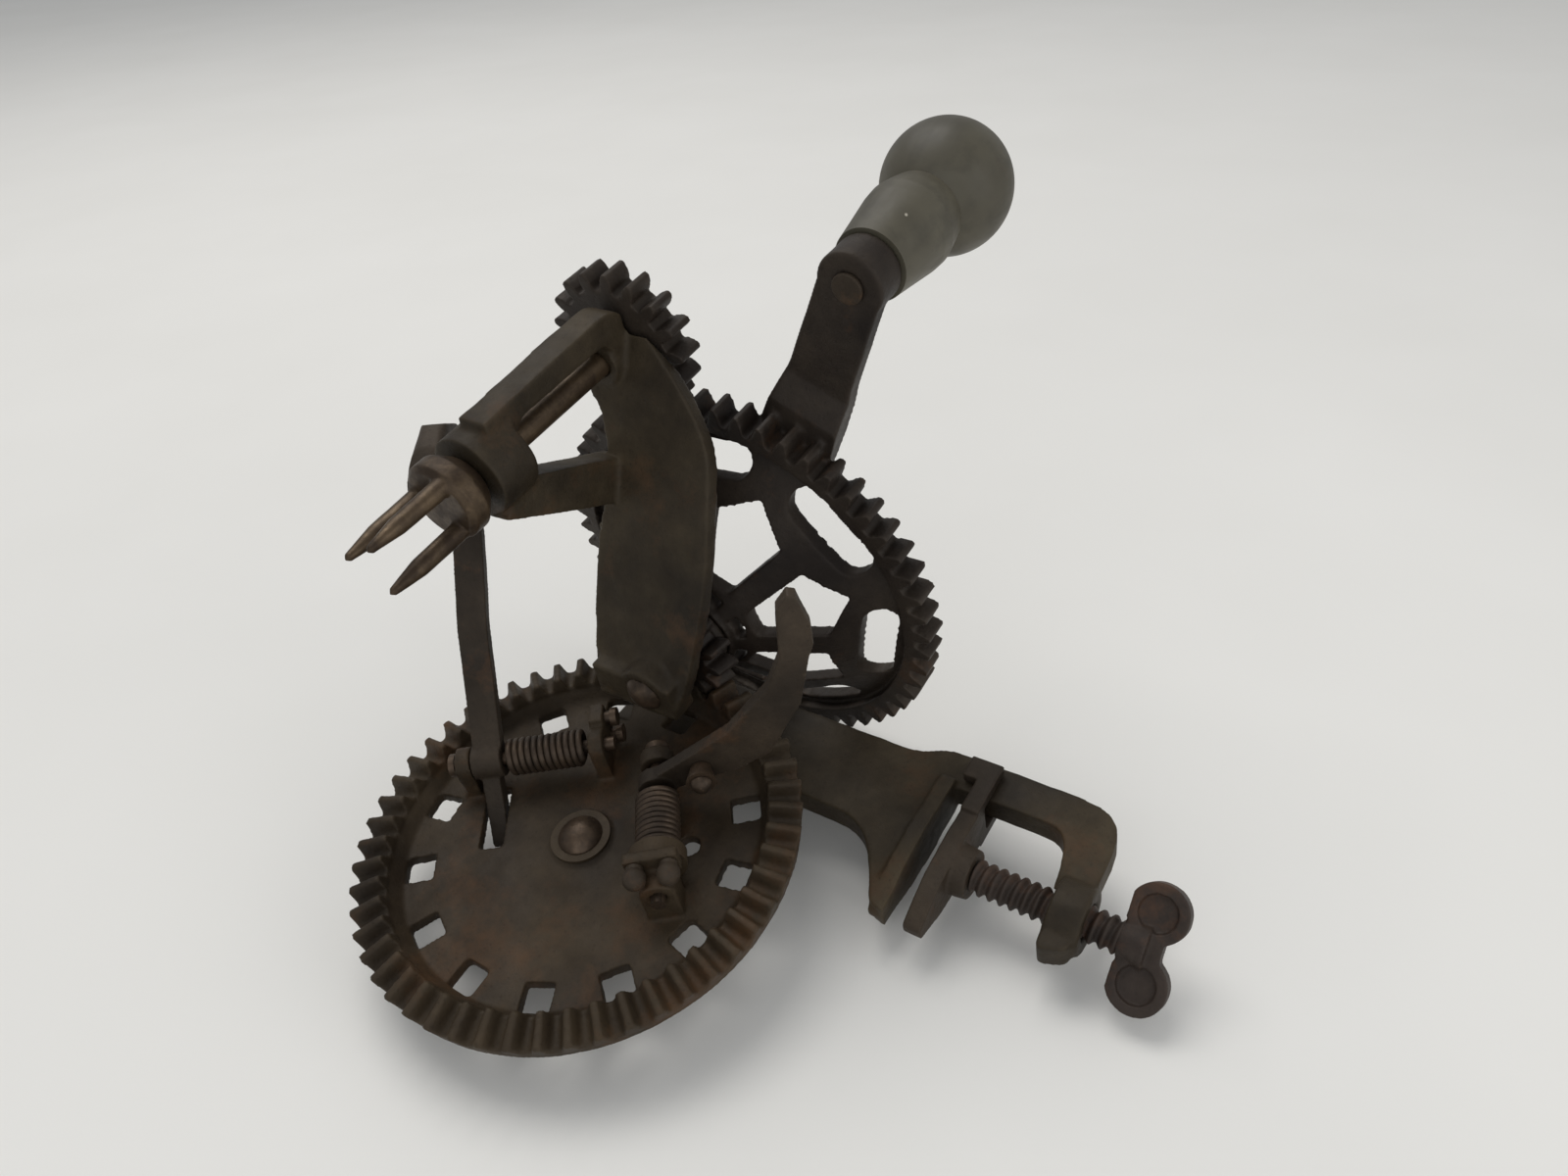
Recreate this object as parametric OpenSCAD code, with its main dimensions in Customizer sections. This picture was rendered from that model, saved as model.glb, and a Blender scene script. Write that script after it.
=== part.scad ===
// Clamp-on turntable apple parer: a crank gear drives a fork spindle and a bevel turntable.
// Millimetres. +Z is up, the origin is the middle of the face that rests on the table edge.
// +X is the side the turntable faces, +Y is the side of the crank.

/* [Gearing] */
// teeth on the crank gear
drive_teeth = 54; // [48:2:60]
// teeth on the small gear of the fork spindle
fork_teeth = 17; // [16:1:20]
// tooth module of the two spur gears
spur_module = 1.9; // [1.8:0.05:2]
// teeth on the turntable
table_teeth = 52; // [48:4:60]
// teeth on the bevel pinion
bevel_teeth = 13; // [12:1:15]
// pitch radius of the turntable teeth at their outer ends
table_pitch_r = 50; // [48:0.5:51]
// play left between meshing teeth, at the pitch line
backlash = 0.35; // [0.25:0.05:0.5]

/* [Turntable] */
// radius of the turntable's smooth outer edge
table_r = 50.8; // [50.5:0.1:51.5]
// height of both working axes above the table top
axis_h = 66; // [62:1:75]
// square holes around the turntable
hole_count = 14; // [10:1:16]
// side of one square hole
hole_side = 6.5; // [4:0.5:7]

/* [Crank and fork] */
// distance from the crank gear's axis to the knob's axis
crank_throw = 91; // [85:1:95]
// angle of the crank arm away from the turntable's facing direction
crank_angle = 24.7; // [20:0.1:30]
// spokes of the crank gear
spoke_count = 7; // [5:1:8]
// radius of the knob's ball
knob_r = 14.3; // [12:0.1:16]
// length of one fork prong
prong_len = 20; // [15:1:24]

/* [Clamp] */
// distance from the turntable's axis to the clamp screw's axis
clamp_y = 37.5; // [36:0.5:39]
// gap between the two jaws as stored
jaw_gap = 4.6; // [2:0.1:12]
// outer radius of the clamp screw
screw_r = 4; // [3.5:0.1:4.4]

/* [Hidden] */
$fn = 64;
hub = [14, -clamp_y, axis_h];
drive_x = 17.2;
fork_angle = -15.25;
fork_dist = spur_module * (drive_teeth + fork_teeth) / 2;
fork_x = drive_x + fork_dist * cos(fork_angle);
fork_z = -fork_dist * sin(fork_angle);
gear_y = 76;
gear_w = 7;
hub_y = 54;
web_slope = 0.61;
rim_r = 46;
crank_y = 82.6;
knob_base = 91.2;
stud_r = 3.5;
spindle_r = 2.9;
post_y = 33.3;
post_lean = 28.2;
post_t = 4;
frame_x = -14;
frame_t = 7;
arm_pivot = [8, 4.2, 29.3];
arm_angle = 34.5;
pusher_pivot = [8, 16, -12.5];
pusher_angle = -53.1;
pin_r = 1.6;
arm_w = 7;
arm_tilt = 5.9;
arm_path = [[0, 0], [17.6, 26.5], [33.7, 41.1], [40.5, 51.5], [41.7, 59.5], [38.5, 67.5],
    [32.5, 71.8], [26, 71.5], [19, 67.5]];
pusher_t = 3;
iron = [0.23, 0.20, 0.17];
worn_iron = [0.34, 0.29, 0.23];
bright_iron = [0.42, 0.35, 0.26];
dark_iron = [0.17, 0.15, 0.14];
old_wood = [0.35, 0.34, 0.29];

// ---------- placing ----------
// hub-centred frame: X along the turntable's axis, Y along the crank's axis
module at_hub() translate(hub) children();
// drawn along +Z, placed along +X
module along_x() rotate([0, 90, 0]) children();
// drawn along +Z, placed along +Y; drawn x stays X and drawn y becomes -Z
module along_y() rotate([-90, 0, 0]) children();
module drive_axis(y) at_hub() translate([drive_x, y, 0]) along_y() children();
module fork_axis(y) at_hub() translate([fork_x, y, fork_z]) along_y() children();
module knob_axis(y) at_hub() translate([drive_x + crank_throw * cos(crank_angle), y,
    -crank_throw * sin(crank_angle)]) along_y() children();
// upright plane on the turntable: drawn x leans outward, drawn y is height, drawn z the pin
module upright(pivot, a) at_hub() translate(pivot)
    multmatrix([[0, 1, 0, 0], [cos(a), 0, sin(a), 0], [sin(a), 0, -cos(a), 0], [0, 0, 0, 1]])
    children();

// flat bar of width w with rounded corners that follows a path
module strip(path, w) for (k = [0:len(path) - 2]) let (d = path[k + 1] - path[k])
    translate(path[k]) rotate(atan2(d[1], d[0])) {
        circle(d = w);
        translate([0, -w / 2]) square([norm(d), w]);
        translate([norm(d), 0]) circle(d = w);
    }

// closed outline whose corners [x, y, d] are rounded off from a distance d before and after them
function corner_point(p) = [p[0], p[1]];
function rounded(path) = [for (k = [0:len(path) - 1])
    let (
        n = len(path),
        corner = corner_point(path[k]),
        back = corner_point(path[(k + n - 1) % n]) - corner,
        ahead = corner_point(path[(k + 1) % n]) - corner,
        d = path[k][2])
    each d == 0 ? [corner] : [for (t = [0:0.2:1])
        corner + back * d / norm(back) * pow(1 - t, 2) + ahead * d / norm(ahead) * pow(t, 2)]];

// ---------- gear outlines ----------
function inv(a) = tan(a) * 180 / PI - a;
function flank_angle(r, rb) = r > rb ? inv(acos(rb / r)) : 0;
// half the angle that a tooth covers at radius r
function half_tooth(r, pitch_r, rb, n) =
    90 / n - backlash / 4 / pitch_r * 180 / PI + inv(20) - flank_angle(r, rb);
function polar(r, a) = [r * cos(a), r * sin(a)];
// involute spur gear outline with a tooth on the +x side
module gear_outline(n, m) {
    pitch_r = n * m / 2;
    rb = pitch_r * cos(20);
    root = pitch_r - 1.3 * m;
    tip = pitch_r + 0.92 * m;
    radii = [max(root, rb), pitch_r - 0.3 * m, pitch_r + 0.3 * m, tip];
    polygon([for (k = [0:n - 1]) let (a = 360 * k / n) each concat(
        [polar(root, a - half_tooth(radii[0], pitch_r, rb, n))],
        [for (r = radii) polar(r, a - half_tooth(r, pitch_r, rb, n))],
        [for (r = [radii[3], radii[2], radii[1], radii[0]])
            polar(r, a + half_tooth(r, pitch_r, rb, n))],
        [polar(root, a + half_tooth(radii[0], pitch_r, rb, n))])]);
}

// ---------- turntable ----------
table_module = 2 * table_pitch_r / table_teeth;
bevel_r = bevel_teeth * table_module / 2;
bevel_face = 6;
cone_dist = norm([table_pitch_r, bevel_r]);
// point of a tooth section: s shrinks it toward the apex, h is height over the pitch cone,
// t is the sideways half thickness, a the tooth's angle around the axis
function cone_point(s, h, t, a) = let (
    r = s * (table_pitch_r + h * bevel_r / cone_dist),
    x = drive_x - s * (bevel_r - h * table_pitch_r / cone_dist),
    w = s * t / r * 180 / PI)
    [r * cos(a + w), r * sin(a + w), x];
tooth_add = 0.8 * table_module;
tooth_ded = 1.3 * table_module;
tooth_half = PI * table_module / 4 - backlash / 2;
// one straight-sided crown tooth, sunk into the rim and reaching a little past it
module crown_tooth(a) {
    inner = 1 - bevel_face / table_pitch_r;
    outer = (table_r + 0.8) / table_pitch_r;
    wide = tooth_half + tooth_ded * tan(20);
    slim = tooth_half - tooth_add * tan(20);
    section = [[-tooth_ded, -wide], [-tooth_ded, wide], [tooth_add, slim], [tooth_add, -slim]];
    polyhedron(
        [for (s = [outer, inner]) for (p = section) cone_point(s, p[0], p[1], a)],
        [[3, 2, 1, 0], [4, 5, 6, 7], [0, 1, 5, 4], [1, 2, 6, 5], [2, 3, 7, 6], [3, 0, 4, 7]]);
}

module turntable_profile() {
    inner = table_pitch_r - bevel_face;
    slope = bevel_r / table_pitch_r;
    root_out = drive_x - bevel_r - tooth_ded + 0.5;
    root_in = root_out + bevel_face * slope;
    polygon([[stud_r + 0.05, -3], [inner - 3, -3], [table_r - 3, -2.2], [table_r, 0.4],
        [table_r, root_out], [inner, root_in], [inner - 2.6, 0], [7.4, 0], [7, 0.6], [stud_r + 0.05, 0.6]]);
}

// ear that carries one end of an arm's pin
module ear(z0, z1, bore) {
    difference() {
        union() {
            translate([0, 0, z0]) cylinder(r = 4, h = z1 - z0);
            translate([-4, -8.5, z0]) cube([8, 8.5, z1 - z0]);
        }
        translate([0, 0, z0 - 1]) cylinder(r = bore, h = z1 - z0 + 2);
    }
}

module turntable() color(iron) {
    difference() {
        at_hub() union() {
            along_x() rotate_extrude($fn = 180) turntable_profile();
            along_x() for (k = [0:table_teeth - 1])
                crown_tooth(90 + 360 * (k + 0.5) / table_teeth);
        }
        at_hub() along_x() for (k = [0:hole_count - 1]) rotate(12 + 360 * k / hole_count)
            translate([38 - hole_side / 2, -hole_side / 2, -4]) cube([hole_side, hole_side, 8]);
        // slot for the tail of the parer arm
        upright(arm_pivot, arm_angle) translate([-19, -12, -2.8]) cube([16.5, 6, 5.6]);
        // lightening hole
        at_hub() translate([-4, 9.5, -23.8]) along_x() cylinder(r = 2.4, h = 8);
    }
    upright(arm_pivot, arm_angle) {
        ear(-7.6, -3.9, pin_r);
        ear(24.6, 28.2, pin_r);
        // wing of the ear that carries the spring's two rivets
        translate([3.5, -8.5, 24.6]) cube([5.6, 13, 3.6]);
    }
    upright(pusher_pivot, pusher_angle) {
        ear(-8.4, -4.6, pin_r);
        ear(22.6, 29.4, pin_r);
        // crosspiece of the ear that carries the spring's two anchor pins
        translate([-5.8, 2.5, 22.6]) cube([11.6, 5.9, 2.6]);
    }
}

module table_stud() color(worn_iron) at_hub() along_x() {
    translate([0, 0, -18]) cylinder(r = stud_r, h = 20.5);
    translate([0, 0, 1.4]) rotate_extrude() intersection() {
        translate([0, -3.2]) circle(r = 6.2);
        square([5.4, 3.1]);
    }
}

module table_stud_washer() color(iron) at_hub() along_x() translate([0, 0, 0.65])
    rotate_extrude() translate([stud_r + 0.05, 0]) square([3.4, 0.75]);

// ---------- crank gear ----------
// wall between two radii that follows the gear's dish; f is its front face height at r
function dish(r) = hub_y + (r - 10) * web_slope;
module dished_disc(r0, r1, t) rotate_extrude($fn = 128)
    polygon([[r0, dish(r0)], [r1, dish(r1)], [r1, dish(r1) + t], [r0, dish(r0) + t]]);

module spoke_windows() {
    step = 360 / spoke_count;
    for (k = [0:spoke_count - 1]) rotate(crank_angle + k * step) {
        linear_extrude(height = 100) polygon([polar(15, -13), polar(29.5, -18.5),
            polar(35.5, 0), polar(29.5, 18.5), polar(15, 13)]);
        rotate(step / 2) linear_extrude(height = 100) strip([[39.3, -8.6], [39.3, 8.6]], 7.4);
        linear_extrude(height = 100) polygon([polar(10.6, -15), polar(12.8, -14), polar(13, 0),
            polar(12.8, 14), polar(10.6, 15), polar(10.9, 0)]);
    }
}

// arm that steps out from the gear's face and ends in a round boss for the knob
module crank_arm() rotate(crank_angle) {
    gear_top = gear_y + gear_w / 2;
    intersection() {
        translate([0, 20, 0]) rotate([90, 0, 0]) linear_extrude(height = 40)
            polygon([[44, gear_top - 1], [48, gear_top - 0.1], [56, gear_top - 0.1],
                [63, crank_y], [120, crank_y], [120, crank_y + 4.6], [60, crank_y + 4.6],
                [50, gear_top + 5], [44, gear_top + 3.5]]);
        linear_extrude(height = 120) polygon([[40, -9.8], [54, -9], [66, -7.6],
            [crank_throw, -7], [crank_throw, 7], [66, 7.6], [54, 9], [40, 9.8]]);
    }
    translate([crank_throw, 0, crank_y]) cylinder(r = 7.4, h = knob_base - crank_y - 0.3);
}

module drive_gear() color(iron) at_hub() translate([drive_x, 0, 0]) along_y() difference() {
    union() {
        translate([0, 0, gear_y - gear_w / 2]) difference() {
            linear_extrude(height = gear_w) rotate(fork_angle)
                gear_outline(drive_teeth, spur_module);
            translate([0, 0, -1]) cylinder(r = rim_r, h = gear_w + 2, $fn = 128);
        }
        difference() {
            dished_disc(9, rim_r + 1, 4);
            spoke_windows();
        }
        crank_arm();
        // hub, and the nose that carries the bevel pinion
        translate([0, 0, 53]) cylinder(r = 9.8, h = 5);
        translate([0, 0, 53]) cylinder(r = 7.5, h = 10);
        translate([0, 0, 42.8]) cylinder(r = 5.5, h = 12);
    }
    cylinder(r = stud_r + 0.05, h = 100);
    rotate(crank_angle) translate([crank_throw, 0, 0]) cylinder(r = 2.5, h = 100);
}

module bevel_pinion() color(dark_iron) drive_axis(0) difference() {
    union() {
        translate([0, 0, table_pitch_r]) rotate([180, 0, 0])
            linear_extrude(height = bevel_face, scale = 1 - bevel_face / table_pitch_r)
            rotate(180) gear_outline(bevel_teeth, table_module);
        translate([0, 0, table_pitch_r]) cylinder(r = 9, h = 2.9);
    }
    translate([0, 0, 30]) cylinder(r = 5.5, h = 40);
}

module drive_stud() color(worn_iron) drive_axis(0) {
    translate([0, 0, 30.6]) cylinder(r = stud_r, h = 34.6);
    translate([0, 0, 31]) rotate([180, 0, 0]) rotate_extrude() intersection() {
        translate([0, -3.4]) circle(r = 5.9);
        square([4.8, 2.5]);
    }
    translate([0, 0, 65]) rotate_extrude() intersection() {
        translate([0, -3.4]) circle(r = 5.9);
        square([4.8, 2.5]);
    }
}

module drive_stud_washer() color(iron) drive_axis(63.3) rotate_extrude()
    translate([stud_r + 0.05, 0]) square([3.2, 1.4]);

// ---------- fork ----------
module fork_spindle() color(bright_iron) fork_axis(0) {
    translate([0, 0, 21]) cylinder(r = spindle_r, h = gear_y + 3.2 - 21);
    translate([0, 0, gear_y + 3.2]) cylinder(r = 4, h = 1.6);
}

module fork_pinion() color(iron) fork_axis(gear_y - gear_w / 2 - 0.3) difference() {
    linear_extrude(height = gear_w) rotate(180 + fork_angle)
        rotate(180 / fork_teeth) gear_outline(fork_teeth, spur_module);
    translate([0, 0, -1]) cylinder(r = spindle_r, h = gear_w + 2);
}

module prong(a) rotate(a) translate([6.2, 0, 15.4]) rotate([180, 0, 0])
    rotate_extrude($fn = 32) polygon([[0, 0], [2.1, 0], [1.9, prong_len * 0.6],
        [0.9, prong_len - 1], [0, prong_len]]);

module fork_head() color(bright_iron) fork_axis(0) difference() {
    union() {
        translate([0, 0, 14.8]) rotate_extrude() polygon([[0, 0], [7.6, 0], [8.8, 1.2],
            [8.8, 4.6], [6, 8], [0, 8]]);
        for (k = [0:2]) prong(-89 + 120 * k);
    }
    translate([0, 0, 21]) cylinder(r = spindle_r, h = 20);
}

// ---------- knob ----------
module knob() color(old_wood) knob_axis(0) rotate_extrude() difference() {
    union() {
        translate([0, 124.8]) intersection() {
            circle(r = knob_r);
            translate([0, -20]) square([20, 40]);
        }
        translate([0, knob_base]) polygon([[0, 0], [8, 0], [8.9, 6], [10, 13], [10.2, 16],
            [9.6, 19.5], [8.8, 23], [0, 30]]);
    }
    square([2.58, 160]);
    translate([0, 136.4]) square([3.9, 4]);
}

module knob_pin() color(worn_iron) knob_axis(0) {
    translate([0, 0, crank_y - 0.4]) cylinder(r = 2.5, h = 137 - crank_y);
    translate([0, 0, 136.6]) cylinder(r = 3.6, h = 1.6);
    translate([0, 0, crank_y - 1]) cylinder(r = 3.4, h = 1);
}

// ---------- frame ----------
// flat outline in the Y-Z plane, given as [y, z] around the hub
module slab(x, t) at_hub() translate([x - t / 2, 0, 0])
    multmatrix([[0, 0, 1, 0], [1, 0, 0, 0], [0, 1, 0, 0], [0, 0, 0, 1]])
    linear_extrude(height = t) children();

module clamp_outline() polygon(rounded([[61, 24, 0], [61, -54, 3], [64.7, -60, 3],
    [64.5, -104.5, 11], [28, -104.5, 2], [25.5, -98, 2], [46, -95.5, 4], [55, -93, 4.5],
    [55, -axis_h, 0], [19, -axis_h, 0], [20, -62, 2], [27, -58.5, 4], [38, -51, 8],
    [38, 24, 0]]));

// arm behind the turntable, from its stud to the clamp bar
module table_arm_outline() {
    circle(r = 9);
    polygon([[0, -9], [42, -14], [42, 16], [0, 9]]);
}

// pad on a jaw: a leaf that tapers toward its tip
module pad_outline(back) polygon(rounded([[-1.5, -18.5, 1], [1.5, -18.5, 1], [5.4, -8, 3],
    [6.3, 3, 4], [5.4, back, 1], [-5.4, back, 1], [-6.3, 3, 4], [-5.4, -8, 3]]));

// leaning plate between the crank's axis and the yoke, drawn as [height z, distance up]
module post() at_hub() translate([drive_x, post_y, 0])
    multmatrix([[0, cos(post_lean), -sin(post_lean), 0],
        [0, sin(post_lean), cos(post_lean), 0], [1, 0, 0, 0], [0, 0, 0, 1]])
    linear_extrude(height = post_t)
    polygon(rounded([[-8, -6, 1], [-10.5, 3, 4], [-13.6, 28, 10], [-11.5, 58, 5],
        [-5.7, 67, 5], [7, 80, 4.5], [14, 84.5, 3.5], [23, 84.5, 5], [23, 66, 2], [19, 62, 2],
        [15.5, 50, 5], [18.5, 28, 9], [17, 3, 4], [15, -6, 1]]));

// two bearings of the fork spindle, the bar over it and the brace under it
module yoke() {
    fork_axis(23.6) cylinder(r = 9.3, h = 10.4);
    fork_axis(65) cylinder(r = 5.4, h = 5.2);
    at_hub() translate([0, 0, 12.5]) linear_extrude(height = 7.5)
        polygon(rounded([[84, 28, 0], [93.5, 28, 0], [95.2, 73, 9], [84, 73, 0],
            [84, 67, 0], [88.8, 64, 2], [88.8, 37, 2], [84, 33, 0]]));
    at_hub() translate([0, 0, 12.6]) linear_extrude(height = 7)
        polygon([[72, 24], [77.5, 32], [62, 60.5], [53, 54]]);
}

module frame_casting() color(iron) difference() {
    union() {
        slab(frame_x, frame_t) clamp_outline();
        slab(frame_x, frame_t) table_arm_outline();
        at_hub() translate([frame_x, 0, 0]) along_x() cylinder(r = 8, h = -frame_x - 3.3);
        // fixed jaw and the boss around the clamp screw
        linear_extrude(height = 4) pad_outline(19);
        translate([0, 0, -39.5]) cylinder(r = 7.6, h = 8);
        // rib that runs up from the clamp bar to the back of the post
        at_hub() translate([frame_x - frame_t / 2, 51.5, 13]) cube([64, 3.2, 7]);
        // foot of the post and the drive stud's bearing
        at_hub() translate([10.4, 31, -8]) cube([10.6, 7.4, 23]);
        drive_axis(31) cylinder(r = 6.8, h = 11.2);
        post();
        yoke();
    }
    // room for the two small gears
    at_hub() translate([20, 71.4, -30]) cube([100, 20, 100]);
    drive_axis(42.3) cylinder(r = 14.9, h = 11);
    fork_axis(20) cylinder(r = spindle_r + 0.06, h = 55);
    drive_axis(20) cylinder(r = stud_r, h = 25);
    at_hub() translate([-30, 0, 0]) along_x() cylinder(r = stud_r, h = 30);
    translate([0, 0, -50]) cylinder(r = screw_r + 0.06, h = 24);
}

// ---------- clamp ----------
jaw_z = -jaw_gap;
module clamp_jaw() color(iron) difference() {
    union() {
        translate([0, 0, jaw_z - 4.5]) linear_extrude(height = 4.5) pad_outline(14.5);
        translate([0, 0, jaw_z - 8.5]) cylinder(r1 = 5.6, r2 = 6.2, h = 5);
        // ears that straddle the spine of the clamp
        for (x = [-6.9, 3.9]) {
            translate([x, 11, jaw_z - 4.5]) cube([3, 14.5, 4.5]);
            translate([x, 19.6, jaw_z - 4.5]) cube([3, 5.9, 8]);
        }
    }
    translate([0, 0, jaw_z - 9]) cylinder(r = 2.56, h = 6.2);
}

module wing_outline() {
    for (side = [-1, 1]) translate([7.6 * side, -11]) circle(r = 6.4);
    translate([-7, -14]) square([14, 8]);
}

module clamp_screw() color(iron) {
    translate([0, 0, jaw_z - 9]) cylinder(r = 2.5, h = 6);
    translate([0, 0, -50]) cylinder(r = screw_r, h = 50 + jaw_z - 8.6);
    translate([0, 0, -52]) cylinder(r1 = 5, r2 = screw_r, h = 6);
    rotate(52.3) translate([0, 2.5, -41]) rotate([90, 0, 0]) difference() {
        linear_extrude(height = 5) wing_outline();
        // dished faces of the two lobes
        for (side = [-1, 1]) for (z = [-1, 3.8]) translate([7.6 * side, -11, z])
            cylinder(r = 4, h = 2.2);
    }
}

// ---------- arms on the turntable ----------
module parer_arm() color(iron) upright(arm_pivot, arm_angle) difference() {
    union() {
        translate([0, 0, -3.6]) cylinder(r = 4.2, h = 7.2);
        rotate([arm_tilt, 0, 0]) intersection() {
            translate([0, 0, -arm_w / 2]) linear_extrude(height = arm_w) strip(arm_path, 3.6);
            // rounds the outer corners of the hook
            translate([-10, 0, 0]) rotate([90, 0, 90]) linear_extrude(height = 70)
                polygon(rounded([[-5, -arm_w / 2, 0], [73.6, -arm_w / 2, 4.4],
                    [73.6, arm_w / 2, 2.4], [-5, arm_w / 2, 0]]));
        }
        // tail that reaches down through the turntable
        translate([0, 0, -2.2]) linear_extrude(height = 4.4) strip([[0, 0], [-12, -14.5]], 4);
    }
    translate([0, 0, -10]) cylinder(r = pin_r + 0.06, h = 20);
}

module parer_arm_pin() color(worn_iron) upright(arm_pivot, arm_angle) {
    translate([0, 0, -9]) cylinder(r = pin_r, h = 39.4);
    translate([0, 0, -9.4]) cylinder(r = 2.8, h = 1.4);
}

module parer_spring() color(worn_iron) upright(arm_pivot, arm_angle)
    translate([0, 0, 4.4]) difference() {
        cylinder(r = 4.4, h = 19.4);
        translate([0, 0, -1]) cylinder(r = 3.1, h = 22);
    }

module parer_spring_pin() color(worn_iron) upright(arm_pivot, arm_angle)
    for (y = [2, -4.2]) translate([6.4, y, 28.2]) {
        cylinder(r = 1.5, h = 1.4);
        translate([0, 0, 1.4]) cylinder(r = 2.2, h = 1.5);
    }

module pusher_arm() color(iron) upright(pusher_pivot, pusher_angle) difference() {
    union() {
        translate([0, 0, -pusher_t / 2 - 0.3]) cylinder(r = 4.4, h = pusher_t + 0.6);
        translate([0, 0, -pusher_t / 2]) linear_extrude(height = pusher_t)
            polygon([[-0.6, 4], [5, 7], [19, 15], [29.7, 26.3], [33.7, 34.9], [34.6, 43.3],
            [35.4, 48.4], [38.1, 51.7], [39.8, 51], [41.5, 42.4], [41.3, 37.3],
            [39.7, 33.3], [36, 20.2], [32.3, 14.6], [27, 6], [20, 2.5], [12, 1],
            [4.2, -0.8]]);
    }
    translate([0, 0, -10]) cylinder(r = pin_r + 0.06, h = 20);
    translate([11, 5, -10]) cylinder(r = 1.5, h = 20);
}

module pusher_pin() color(worn_iron) upright(pusher_pivot, pusher_angle) {
    translate([0, 0, -10]) cylinder(r = pin_r, h = 41);
    translate([0, 0, -10.6]) cylinder(r = 2.8, h = 1.6);
}

module pusher_spring() color(worn_iron) upright(pusher_pivot, pusher_angle)
    translate([0, 0, 3.4]) difference() {
        cylinder(r = 5, h = 14.6);
        translate([0, 0, -1]) cylinder(r = 3.6, h = 20);
    }

module pusher_washer() color(iron) upright(pusher_pivot, pusher_angle)
    translate([0, 0, 18.3]) rotate_extrude() translate([pin_r + 0.05, 0]) square([4.6, 3.4]);

module pusher_anchor_pins() color(worn_iron) upright(pusher_pivot, pusher_angle)
    for (x = [-3.6, 3.6]) translate([x, 6, 25.2]) {
        cylinder(r = 1.9, h = 2);
        translate([0, 0, 2.7]) sphere(r = 2.5);
    }

module pusher_rivet() color(worn_iron) upright(pusher_pivot, pusher_angle)
    translate([11, 5, -2.4]) {
        cylinder(r = 1.5, h = 9);
        cylinder(r = 2.6, h = 0.9);
        translate([0, 0, 8]) rotate_extrude() intersection() {
            circle(r = 2.5);
            square([3, 3]);
        }
    }

module pusher_rivet_washer() color(iron) upright(pusher_pivot, pusher_angle)
    translate([11, 5, 1.6]) difference() {
        cylinder(r1 = 2.3, r2 = 3.4, h = 4);
        translate([0, 0, -1]) cylinder(r = 1.5, h = 8);
    }

frame_casting();
turntable();
table_stud();
table_stud_washer();
drive_gear();
bevel_pinion();
drive_stud();
drive_stud_washer();
fork_spindle();
fork_pinion();
fork_head();
knob();
knob_pin();
clamp_jaw();
clamp_screw();
parer_arm();
parer_arm_pin();
parer_spring();
parer_spring_pin();
pusher_arm();
pusher_pin();
pusher_spring();
pusher_washer();
pusher_anchor_pins();
pusher_rivet();
pusher_rivet_washer();
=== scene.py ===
"""Looks of the hand-cranked apple parer: rusty cast iron, worn steel and a painted wooden knob."""

import math

import bmesh
import bpy
from mathutils import Matrix, Vector


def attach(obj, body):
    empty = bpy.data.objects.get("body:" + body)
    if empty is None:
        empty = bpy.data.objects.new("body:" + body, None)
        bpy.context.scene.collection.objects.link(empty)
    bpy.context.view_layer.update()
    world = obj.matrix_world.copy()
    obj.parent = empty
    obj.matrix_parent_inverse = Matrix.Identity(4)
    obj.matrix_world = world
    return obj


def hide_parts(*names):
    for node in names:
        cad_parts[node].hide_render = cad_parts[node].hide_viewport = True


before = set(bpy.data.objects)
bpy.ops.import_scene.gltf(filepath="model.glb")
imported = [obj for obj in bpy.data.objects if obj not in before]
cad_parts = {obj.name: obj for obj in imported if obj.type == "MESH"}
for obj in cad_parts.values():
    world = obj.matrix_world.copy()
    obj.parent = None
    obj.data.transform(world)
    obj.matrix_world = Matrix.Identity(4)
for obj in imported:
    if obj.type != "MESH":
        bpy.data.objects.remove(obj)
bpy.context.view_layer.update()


MM = 0.001

# the turntable's middle, and the pins that the two springs wind around
HUB = Vector((14, -37.5, 66)) * MM
ARM_PIVOT = HUB + Vector((8, 4.2, 29.3)) * MM
PUSHER_PIVOT = HUB + Vector((8, 16, -12.5)) * MM
ARM_ANGLE = math.radians(34.5)
PUSHER_ANGLE = math.radians(-53.1)

# the clamp screw's axis is Z, and the sliding jaw sits on its top end
JAW_GAP = 4.6 * MM
SCREW_PITCH = 2.5 * MM
SCREW_CREST = 4.0 * MM
SCREW_ROOT = 3.05 * MM
SCREW_TOP = -JAW_GAP - 8.9 * MM
SCREW_BOTTOM = -48 * MM
NECK_RADIUS = 2.5 * MM
NECK_LENGTH = 5 * MM
NECK_RISE = 2.2 * MM
WING_TOP = -46.2 * MM
WELD_DISTANCE = 0.00001

# how finely the wires and the thread are divided
WIRE_SIDES = 10
COIL_STEPS = 28
THREAD_SIDES = 40
THREAD_ROWS = 150
NECK_SIDES = 24


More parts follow.
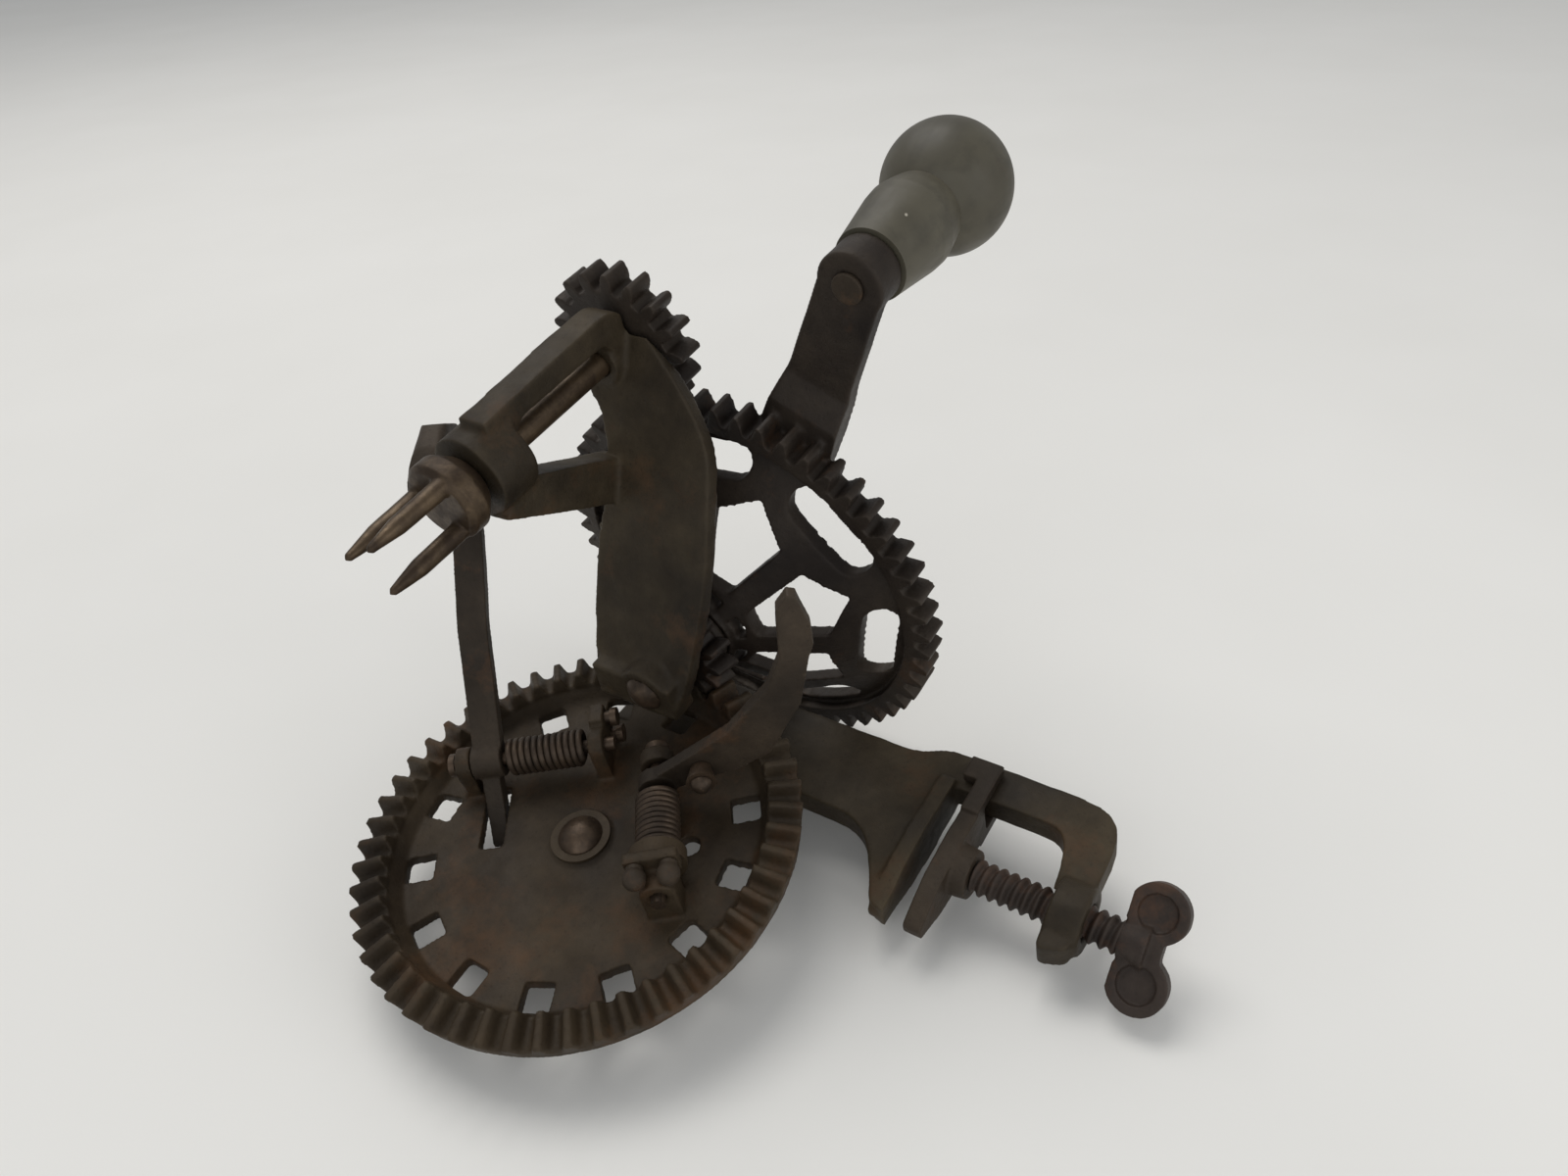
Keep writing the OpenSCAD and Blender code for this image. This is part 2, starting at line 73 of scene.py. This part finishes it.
# ---------- materials ----------
class Nodes:
    """Short names for building one procedural material."""

    def __init__(self, name):
        self.material = bpy.data.materials.new(name)
        self.material.use_nodes = True
        self.tree = self.material.node_tree
        self.shader = self.tree.nodes["Principled BSDF"]
        self.place = self.add("ShaderNodeTexCoord").outputs["Object"]

    def add(self, kind, inputs=None, **settings):
        node = self.tree.nodes.new(kind)
        for key, value in settings.items():
            setattr(node, key, value)
        for key, value in (inputs or {}).items():
            self.put(node.inputs[key], value)
        return node

    def put(self, socket, value):
        if isinstance(value, bpy.types.NodeSocket):
            self.tree.links.new(value, socket)
        else:
            socket.default_value = value

    def noise(self, scale, detail=4.0, roughness=0.6, place=None):
        inputs = {"Vector": place or self.place, "Scale": scale, "Detail": detail}
        inputs["Roughness"] = roughness
        return self.add("ShaderNodeTexNoise", inputs).outputs["Fac"]

    def cells(self, scale):
        node = self.add("ShaderNodeTexVoronoi", {"Vector": self.place, "Scale": scale})
        return node.outputs["Distance"]

    def ramp(self, value, low, high, out_low=0.0, out_high=1.0):
        inputs = {"Value": value, "From Min": low, "From Max": high}
        inputs.update({"To Min": out_low, "To Max": out_high})
        return self.add("ShaderNodeMapRange", inputs).outputs["Result"]

    def share(self, value, part):
        """A fixed part of a value, such as 0.45 of it."""
        return self.add("ShaderNodeMath", {0: value, 1: part}, operation="MULTIPLY").outputs[0]

    def mix(self, amount, a, b):
        node = self.add("ShaderNodeMix", data_type="RGBA")
        self.put(node.inputs[0], amount)
        self.put(node.inputs[6], a)
        self.put(node.inputs[7], b)
        return node.outputs[2]

    def edges(self):
        """1 on outer edges, 0 on flat faces and in corners; the materials lighten these edges
        partly as rubbed wear and partly as a painted highlight.
        """
        pointiness = self.add("ShaderNodeNewGeometry").outputs["Pointiness"]
        return self.ramp(pointiness, low=0.52, high=0.62)

    def bump(self, heights):
        """Chains (height, strength, distance) layers into one normal."""
        normal = None
        for height, strength, distance in heights:
            inputs = {"Height": height, "Strength": strength, "Distance": distance}
            if normal is not None:
                inputs["Normal"] = normal
            normal = self.add("ShaderNodeBump", inputs).outputs["Normal"]
        self.put(self.shader.inputs["Normal"], normal)

    def finish(self, color, roughness, metallic=0.0, specular=0.5):
        self.put(self.shader.inputs["Base Color"], color)
        self.put(self.shader.inputs["Roughness"], roughness)
        self.put(self.shader.inputs["Metallic"], metallic)
        self.put(self.shader.inputs["Specular IOR Level"], specular)
        return self.material


def rgb(r, g, b):
    return (r, g, b, 1.0)


def cast_iron(name, dark, light, rust, rust_share=0.5, shine=0.0):
    """Old cast iron: dark skin, a lighter bloom from wear, rust in patches, a pitted surface and
    outer edges lightened partly as wear and partly as a painted highlight.
    """
    n = Nodes(name)
    broad = n.ramp(n.noise(28, detail=5), low=0.35, high=0.68)
    fine = n.ramp(n.noise(190, detail=6, roughness=0.7), low=0.35, high=0.7)
    tone = n.mix(broad, dark, light)
    speckled = n.mix(n.share(fine, 0.45), tone, dark)
    rust_from = 0.62 - 0.14 * rust_share
    patches = n.ramp(n.noise(46, detail=7, roughness=0.68), low=rust_from, high=0.76)
    rusty = n.mix(n.share(patches, 0.8), speckled, rust)
    # outer edges are lightened towards the pale tone, partly as real wear and partly as a painted
    # highlight
    wear_and_highlight = n.mix(n.share(n.edges(), 0.55), rusty, light)
    pits = n.ramp(n.cells(620), low=0.0, high=0.28)
    color = n.mix(n.ramp(pits, low=0.0, high=1.0, out_low=0.35, out_high=0.0), wear_and_highlight, dark)
    smoothest, roughest = 0.46 - shine, 0.68 - shine
    rough = n.ramp(n.noise(75, detail=5), 0.3, 0.7, smoothest, roughest)
    skin = n.noise(420, detail=8, roughness=0.7)
    n.bump([(skin, 0.5, 0.0004), (pits, 0.22, 0.00025), (broad, 0.25, 0.0005)])
    return n.finish(color, rough, metallic=0.12 + shine, specular=0.22)


def old_steel(name, dark, light, rough):
    """Steel marked by use: brown stains, dark grime, a fine grain and edges lightened partly as
    wear and partly as a painted highlight.
    """
    n = Nodes(name)
    stains = n.ramp(n.noise(120, detail=7, roughness=0.65), low=0.38, high=0.66)
    tone = n.mix(stains, dark, light)
    grime = n.ramp(n.noise(320, detail=4), low=0.55, high=0.72)
    color = n.mix(n.share(grime, 0.6), tone, dark)
    # outer edges are lightened towards the pale tone, partly as real wear and partly as a painted
    # highlight
    wear_and_highlight = n.mix(n.share(n.edges(), 0.5), color, light)
    roughness = n.ramp(stains, low=0.0, high=1.0, out_low=rough + 0.2, out_high=rough)
    grain = n.noise(700, detail=6, roughness=0.7)
    n.bump([(grain, 0.3, 0.0002), (stains, 0.2, 0.0003)])
    return n.finish(wear_and_highlight, roughness, metallic=0.55, specular=0.4)


def painted_wood(name):
    """Turned knob: olive-grey paint rubbed brown in places, with dirt and small pale chips."""
    n = Nodes(name)
    stretched = n.add("ShaderNodeMapping", {"Vector": n.place, "Scale": (1.0, 0.16, 1.0)})
    grain = n.noise(260, detail=5, roughness=0.6, place=stretched.outputs["Vector"])
    broad = n.ramp(n.noise(34, detail=4), low=0.34, high=0.68)
    paint = n.mix(broad, rgb(0.050, 0.044, 0.030), rgb(0.100, 0.090, 0.064))
    rubbed = n.ramp(n.noise(70, detail=6, roughness=0.7), low=0.56, high=0.74)
    bare = n.mix(n.share(rubbed, 0.55), paint, rgb(0.070, 0.052, 0.036))
    dirt = n.ramp(n.noise(150, detail=5), low=0.5, high=0.72, out_low=0.0, out_high=0.5)
    dirty = n.mix(dirt, bare, rgb(0.030, 0.027, 0.020))
    chips = n.ramp(n.noise(210, detail=2, roughness=0.4), low=0.755, high=0.775)
    color = n.mix(n.share(chips, 0.85), dirty, rgb(0.42, 0.39, 0.32))
    n.bump([(grain, 0.16, 0.0003), (rubbed, 0.12, 0.0003)])
    gloss = n.ramp(grain, low=0.3, high=0.7, out_low=0.42, out_high=0.58)
    return n.finish(color, gloss, metallic=0.0, specular=0.35)


def cloth(name):
    """Plain pale floor with a very faint grain."""
    n = Nodes(name)
    tone = n.mix(n.noise(6, detail=3), rgb(0.76, 0.75, 0.72), rgb(0.82, 0.81, 0.785))
    n.bump([(n.noise(900, detail=2), 0.05, 0.0003)])
    return n.finish(tone, 0.85, metallic=0.0, specular=0.2)


IRON = cast_iron(
    "iron",
    dark=rgb(0.017, 0.012, 0.008),
    light=rgb(0.062, 0.045, 0.030),
    rust=rgb(0.105, 0.050, 0.022),
)
DISC_IRON = cast_iron(
    "disc_iron",
    dark=rgb(0.018, 0.012, 0.007),
    light=rgb(0.060, 0.042, 0.024),
    rust=rgb(0.090, 0.043, 0.018),
    rust_share=0.8,
)
GEAR_IRON = cast_iron(
    "gear_iron",
    dark=rgb(0.014, 0.010, 0.008),
    light=rgb(0.052, 0.039, 0.028),
    rust=rgb(0.085, 0.042, 0.020),
    rust_share=0.3,
    shine=0.04,
)
FRAME_IRON = cast_iron(
    "frame_iron",
    dark=rgb(0.017, 0.012, 0.007),
    light=rgb(0.070, 0.052, 0.030),
    rust=rgb(0.085, 0.043, 0.020),
    rust_share=0.45,
)
CLAMP_IRON = cast_iron(
    "clamp_iron",
    dark=rgb(0.018, 0.013, 0.011),
    light=rgb(0.062, 0.045, 0.035),
    rust=rgb(0.150, 0.066, 0.030),
    rust_share=1.2,
)
SPINDLE_STEEL = old_steel(
    "spindle_steel",
    dark=rgb(0.034, 0.021, 0.012),
    light=rgb(0.110, 0.075, 0.043),
    rough=0.34,
)
RIVET_STEEL = old_steel(
    "rivet_steel",
    dark=rgb(0.030, 0.020, 0.013),
    light=rgb(0.105, 0.070, 0.045),
    rough=0.32,
)
SPRING_STEEL = old_steel(
    "spring_steel",
    dark=rgb(0.020, 0.014, 0.010),
    light=rgb(0.090, 0.061, 0.040),
    rough=0.36,
)
KNOB_PAINT = painted_wood("knob_paint")

# nodes not listed here are springs or small rivets, washers and pins
LOOKS = {
    "frame_casting": FRAME_IRON,
    "turntable": DISC_IRON,
    "drive_gear": GEAR_IRON,
    "fork_pinion": GEAR_IRON,
    "bevel_pinion": GEAR_IRON,
    "fork_spindle": SPINDLE_STEEL,
    "fork_head": SPINDLE_STEEL,
    "knob": KNOB_PAINT,
    "knob_pin": IRON,
    "table_stud_washer": DISC_IRON,
    "pusher_washer": DISC_IRON,
    "pusher_anchor_pins": IRON,
    "clamp_jaw": IRON,
    "clamp_screw": CLAMP_IRON,
    "parer_arm": IRON,
    "pusher_arm": IRON,
}


def material_for(node):
    if node in LOOKS:
        return LOOKS[node]
    if "spring" in node and "pin" not in node:
        return SPRING_STEEL
    return RIVET_STEEL


def dress(obj, material):
    obj.data.materials.clear()
    obj.data.materials.append(material)


for name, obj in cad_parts.items():
    dress(obj, material_for(name))


# ---------- cast surfaces ----------
LUMP_SIZE = 0.006
LUMP_MIDDLE = 0.75
SMOOTH_FACTOR = 0.5


def soften(obj, name, voxel, smooth, lumps):
    """Rounds a casting's edges and makes its skin slightly wavy; voxel and lumps are in mm."""
    remesh = obj.modifiers.new("skin", "REMESH")
    remesh.mode = "VOXEL"
    remesh.voxel_size = voxel * MM
    remesh.use_smooth_shade = True
    rounded = obj.modifiers.new("rounded", "SMOOTH")
    rounded.factor = SMOOTH_FACTOR
    rounded.iterations = smooth
    texture = bpy.data.textures.new(name + "_lumps", "CLOUDS")
    texture.noise_scale = LUMP_SIZE
    lumpy = obj.modifiers.new("lumpy", "DISPLACE")
    lumpy.texture = texture
    lumpy.texture_coords = "GLOBAL"
    lumpy.strength = lumps * MM
    lumpy.mid_level = LUMP_MIDDLE


# voxel size in mm, rounds of smoothing and height of the lumps in mm
CASTINGS = {
    "frame_casting": (0.55, 5, 0.35),
    "turntable": (0.5, 2, 0.22),
    "drive_gear": (0.5, 2, 0.22),
    "fork_pinion": (0.4, 2, 0.15),
    "bevel_pinion": (0.35, 1, 0.1),
    "fork_head": (0.3, 2, 0.12),
    "clamp_jaw": (0.35, 3, 0.2),
    "parer_arm": (0.35, 4, 0.2),
    "pusher_arm": (0.3, 4, 0.15),
    "table_stud": (0.25, 2, 0.1),
    "drive_stud": (0.25, 2, 0.1),
    "knob_pin": (0.25, 2, 0.05),
    "pusher_anchor_pins": (0.2, 2, 0.05),
    "pusher_rivet": (0.2, 2, 0.05),
}

for name, (voxel, smooth, lumps) in CASTINGS.items():
    soften(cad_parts[name], name, voxel, smooth, lumps)


# ---------- coils and thread ----------
def add_object(name, data):
    obj = bpy.data.objects.new(name, data)
    bpy.context.scene.collection.objects.link(obj)
    return obj


def make_piece(name, mesh_builder, matrix, material, body, node):
    """A mesh piece that stands for a plain CAD node."""
    bm = bmesh.new()
    mesh_builder(bm)
    bmesh.ops.recalc_face_normals(bm, faces=bm.faces)
    mesh = bpy.data.meshes.new(name)
    bm.to_mesh(mesh)
    bm.free()
    for face in mesh.polygons:
        face.use_smooth = True
    obj = add_object(name, mesh)
    obj.matrix_world = matrix
    dress(obj, material)
    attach(obj, body)
    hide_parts(node)
    return obj


def join_rings(bm, rings):
    """Skin over a row of rings with equal numbers of points, closed at both ends."""
    sides = len(rings[0])
    for one, two in zip(rings, rings[1:]):
        for k in range(sides):
            after = (k + 1) % sides
            bm.faces.new((one[k], one[after], two[after], two[k]))
    bm.faces.new(rings[0][::-1])
    bm.faces.new(rings[-1])


def sweep(bm, path, radius):
    """Round wire along a path of points."""
    rings = []
    for i, point in enumerate(path):
        ahead = path[min(i + 1, len(path) - 1)] - path[max(i - 1, 0)]
        ahead.normalize()
        side = ahead.cross(Vector((0, 0, 1))).normalized()
        up = side.cross(ahead).normalized()
        ring = []
        for k in range(WIRE_SIDES):
            a = 2 * math.pi * k / WIRE_SIDES
            ring.append(bm.verts.new(point + radius * (side * math.cos(a) + up * math.sin(a))))
        rings.append(ring)
    join_rings(bm, rings)


def coil(radius, start, length, turns, wire):
    """Builder for a coil spring along +Z, where radius is the coil's and wire is the wire's."""

    def build(bm):
        steps = int(turns * COIL_STEPS)
        path = []
        for i in range(steps + 1):
            t = i / steps
            a = 2 * math.pi * turns * t
            z = start + wire + (length - 2 * wire) * t
            path.append(Vector((radius * math.cos(a), radius * math.sin(a), z)))
        sweep(bm, path, wire)

    return build


def upright(pivot, angle):
    """Drawn x leans outward, drawn y is height and drawn z runs along the pin."""
    c, s = math.cos(angle), math.sin(angle)
    turn = Matrix(((0, 1, 0), (c, 0, s), (s, 0, -c))).to_4x4()
    return Matrix.Translation(pivot) @ turn


make_piece(
    "parer_coil",
    coil(radius=3.7 * MM, start=4.5 * MM, length=19.2 * MM, turns=11.5, wire=0.76 * MM),
    upright(ARM_PIVOT, ARM_ANGLE),
    SPRING_STEEL,
    "turntable",
    "parer_spring",
)
make_piece(
    "pusher_coil",
    coil(radius=4.3 * MM, start=3.4 * MM, length=14.6 * MM, turns=9.5, wire=0.7 * MM),
    upright(PUSHER_PIVOT, PUSHER_ANGLE),
    SPRING_STEEL,
    "turntable",
    "pusher_spring",
)


def thread_depth(turn):
    """Thread profile over one turn: 0 at the flat root, 1 at the flat crest, straight flanks."""
    crest_level, flank_slope = 1.25, 3.0
    return min(1.0, max(0.0, crest_level - flank_slope * abs((turn % 1.0) - 0.5)))


def clamp_thread(bm):
    """Threaded shaft of the clamp screw, with the plain neck that enters the jaw."""
    rings = []
    for i in range(THREAD_ROWS + 1):
        z = SCREW_TOP + (SCREW_BOTTOM - SCREW_TOP) * i / THREAD_ROWS
        ring = []
        for k in range(THREAD_SIDES):
            depth = thread_depth(z / SCREW_PITCH + k / THREAD_SIDES)
            r = SCREW_ROOT + (SCREW_CREST - SCREW_ROOT) * depth
            a = 2 * math.pi * k / THREAD_SIDES
            ring.append(bm.verts.new((r * math.cos(a), r * math.sin(a), z)))
        rings.append(ring)
    join_rings(bm, rings)
    bmesh.ops.create_cone(
        bm,
        cap_ends=True,
        segments=NECK_SIDES,
        radius1=NECK_RADIUS,
        radius2=NECK_RADIUS,
        depth=NECK_LENGTH,
        matrix=Matrix.Translation((0, 0, SCREW_TOP + NECK_RISE)),
    )


make_piece(
    "clamp_screw_thread",
    clamp_thread,
    Matrix.Identity(4),
    CLAMP_IRON,
    "clamp_screw",
    "clamp_screw",
)


def cut_wing():
    """The wing of the clamp screw: the CAD shape below the thread, closed where it is cut."""
    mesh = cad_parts["clamp_screw"].data.copy()
    bm = bmesh.new()
    bm.from_mesh(mesh)
    bmesh.ops.remove_doubles(bm, verts=bm.verts, dist=WELD_DISTANCE)
    geometry = list(bm.verts) + list(bm.edges) + list(bm.faces)
    cut = bmesh.ops.bisect_plane(
        bm, geom=geometry, plane_co=(0, 0, WING_TOP), plane_no=(0, 0, 1), clear_outer=True
    )
    rim = [e for e in cut["geom_cut"] if isinstance(e, bmesh.types.BMEdge)]
    bmesh.ops.holes_fill(bm, edges=rim)
    bm.to_mesh(mesh)
    bm.free()
    obj = add_object("clamp_screw_wing", mesh)
    dress(obj, CLAMP_IRON)
    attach(obj, "clamp_screw")
    return obj


soften(cut_wing(), "wing", voxel=0.35, smooth=5, lumps=0.2)


# ---------- floor, light and camera ----------
def lowest_along(normal):
    """The smallest distance along a direction, over all the CAD nodes at rest."""
    return min(normal.dot(v.co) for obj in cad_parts.values() for v in obj.data.vertices)


def see_through_from_behind(material):
    """Hides the floor from a camera that looks at it from its lower side."""
    tree = material.node_tree
    shader = tree.nodes["Principled BSDF"]
    output = tree.nodes["Material Output"]
    clear = tree.nodes.new("ShaderNodeBsdfTransparent")
    side = tree.nodes.new("ShaderNodeNewGeometry")
    choice = tree.nodes.new("ShaderNodeMixShader")
    tree.links.new(side.outputs["Backfacing"], choice.inputs[0])
    tree.links.new(shader.outputs[0], choice.inputs[1])
    tree.links.new(clear.outputs[0], choice.inputs[2])
    tree.links.new(choice.outputs[0], output.inputs["Surface"])
    return material


FLOOR_UP = Vector((0.98, 0.19, 0.0)).normalized()
FLOOR_TURN = FLOOR_UP.to_track_quat("Z", "Y").to_matrix().to_4x4()
FLOOR_REACH = 12.0

# place from the hub in metres, power in watts, width in metres and colour
LIGHTS = {
    "key": ((1.4, 0.6, 0.6), 13, 1.1, (1.0, 0.98, 0.95)),
    "fill": ((0.45, -0.6, -0.35), 1.7, 0.9, (0.94, 0.97, 1.0)),
    "side": ((0.3, 0.1, -0.8), 1.4, 0.5, (1.0, 0.99, 0.97)),
}
ROOM_COLOR = rgb(0.86, 0.88, 0.9)
ROOM_STRENGTH = 0.5

# place from the hub, and the picture's right-hand and backward directions
CAMERA_PLACE = Vector((0.212, -0.084, -0.1495))
CAMERA_RIGHT = Vector((-0.166, 0.522, -0.836))
CAMERA_BACK = Vector((0.681, -0.552, -0.480))
CAMERA_LENS = 26.5
CAMERA_SENSOR = 36
CAMERA_NEAR = 0.01


def add_floor():
    """Pale sheet under the object as it lies on its back, upright in the part's own frame."""
    bm = bmesh.new()
    bmesh.ops.create_grid(bm, x_segments=2, y_segments=2, size=FLOOR_REACH)
    mesh = bpy.data.meshes.new("floor")
    bm.to_mesh(mesh)
    bm.free()
    obj = add_object("floor", mesh)
    obj.matrix_world = Matrix.Translation(FLOOR_UP * lowest_along(FLOOR_UP)) @ FLOOR_TURN
    dress(obj, see_through_from_behind(cloth("pale_cloth")))


def add_light(name, place, power, width, color):
    """Soft square light aimed at the turntable's hub."""
    lamp = bpy.data.lights.new(name, "AREA")
    lamp.energy = power
    lamp.size = width
    lamp.color = color
    obj = add_object(name, lamp)
    obj.location = HUB + Vector(place)
    obj.rotation_mode = "QUATERNION"
    obj.rotation_quaternion = Vector(place).to_track_quat("Z", "Y")


def add_room_light():
    """Even pale light from all round."""
    world = bpy.data.worlds.new("room")
    world.use_nodes = True
    background = world.node_tree.nodes["Background"]
    background.inputs["Color"].default_value = ROOM_COLOR
    background.inputs["Strength"].default_value = ROOM_STRENGTH
    bpy.context.scene.world = world


def add_camera():
    """Seen from below the turntable's face, as the photo shows it lying on its back."""
    lens = bpy.data.cameras.new("camera")
    lens.lens = CAMERA_LENS
    lens.sensor_width = CAMERA_SENSOR
    lens.clip_start = CAMERA_NEAR
    camera = add_object("camera", lens)
    right = CAMERA_RIGHT.normalized()
    back = (CAMERA_BACK - right * CAMERA_BACK.dot(right)).normalized()
    up = back.cross(right)
    turn = Matrix((right, up, back)).transposed().to_4x4()
    camera.matrix_world = Matrix.Translation(HUB + CAMERA_PLACE) @ turn
    bpy.context.scene.camera = camera


add_floor()
for name, (place, power, width, color) in LIGHTS.items():
    add_light(name, place, power, width, color)
add_room_light()
bpy.context.scene.view_settings.view_transform = "Standard"
add_camera()
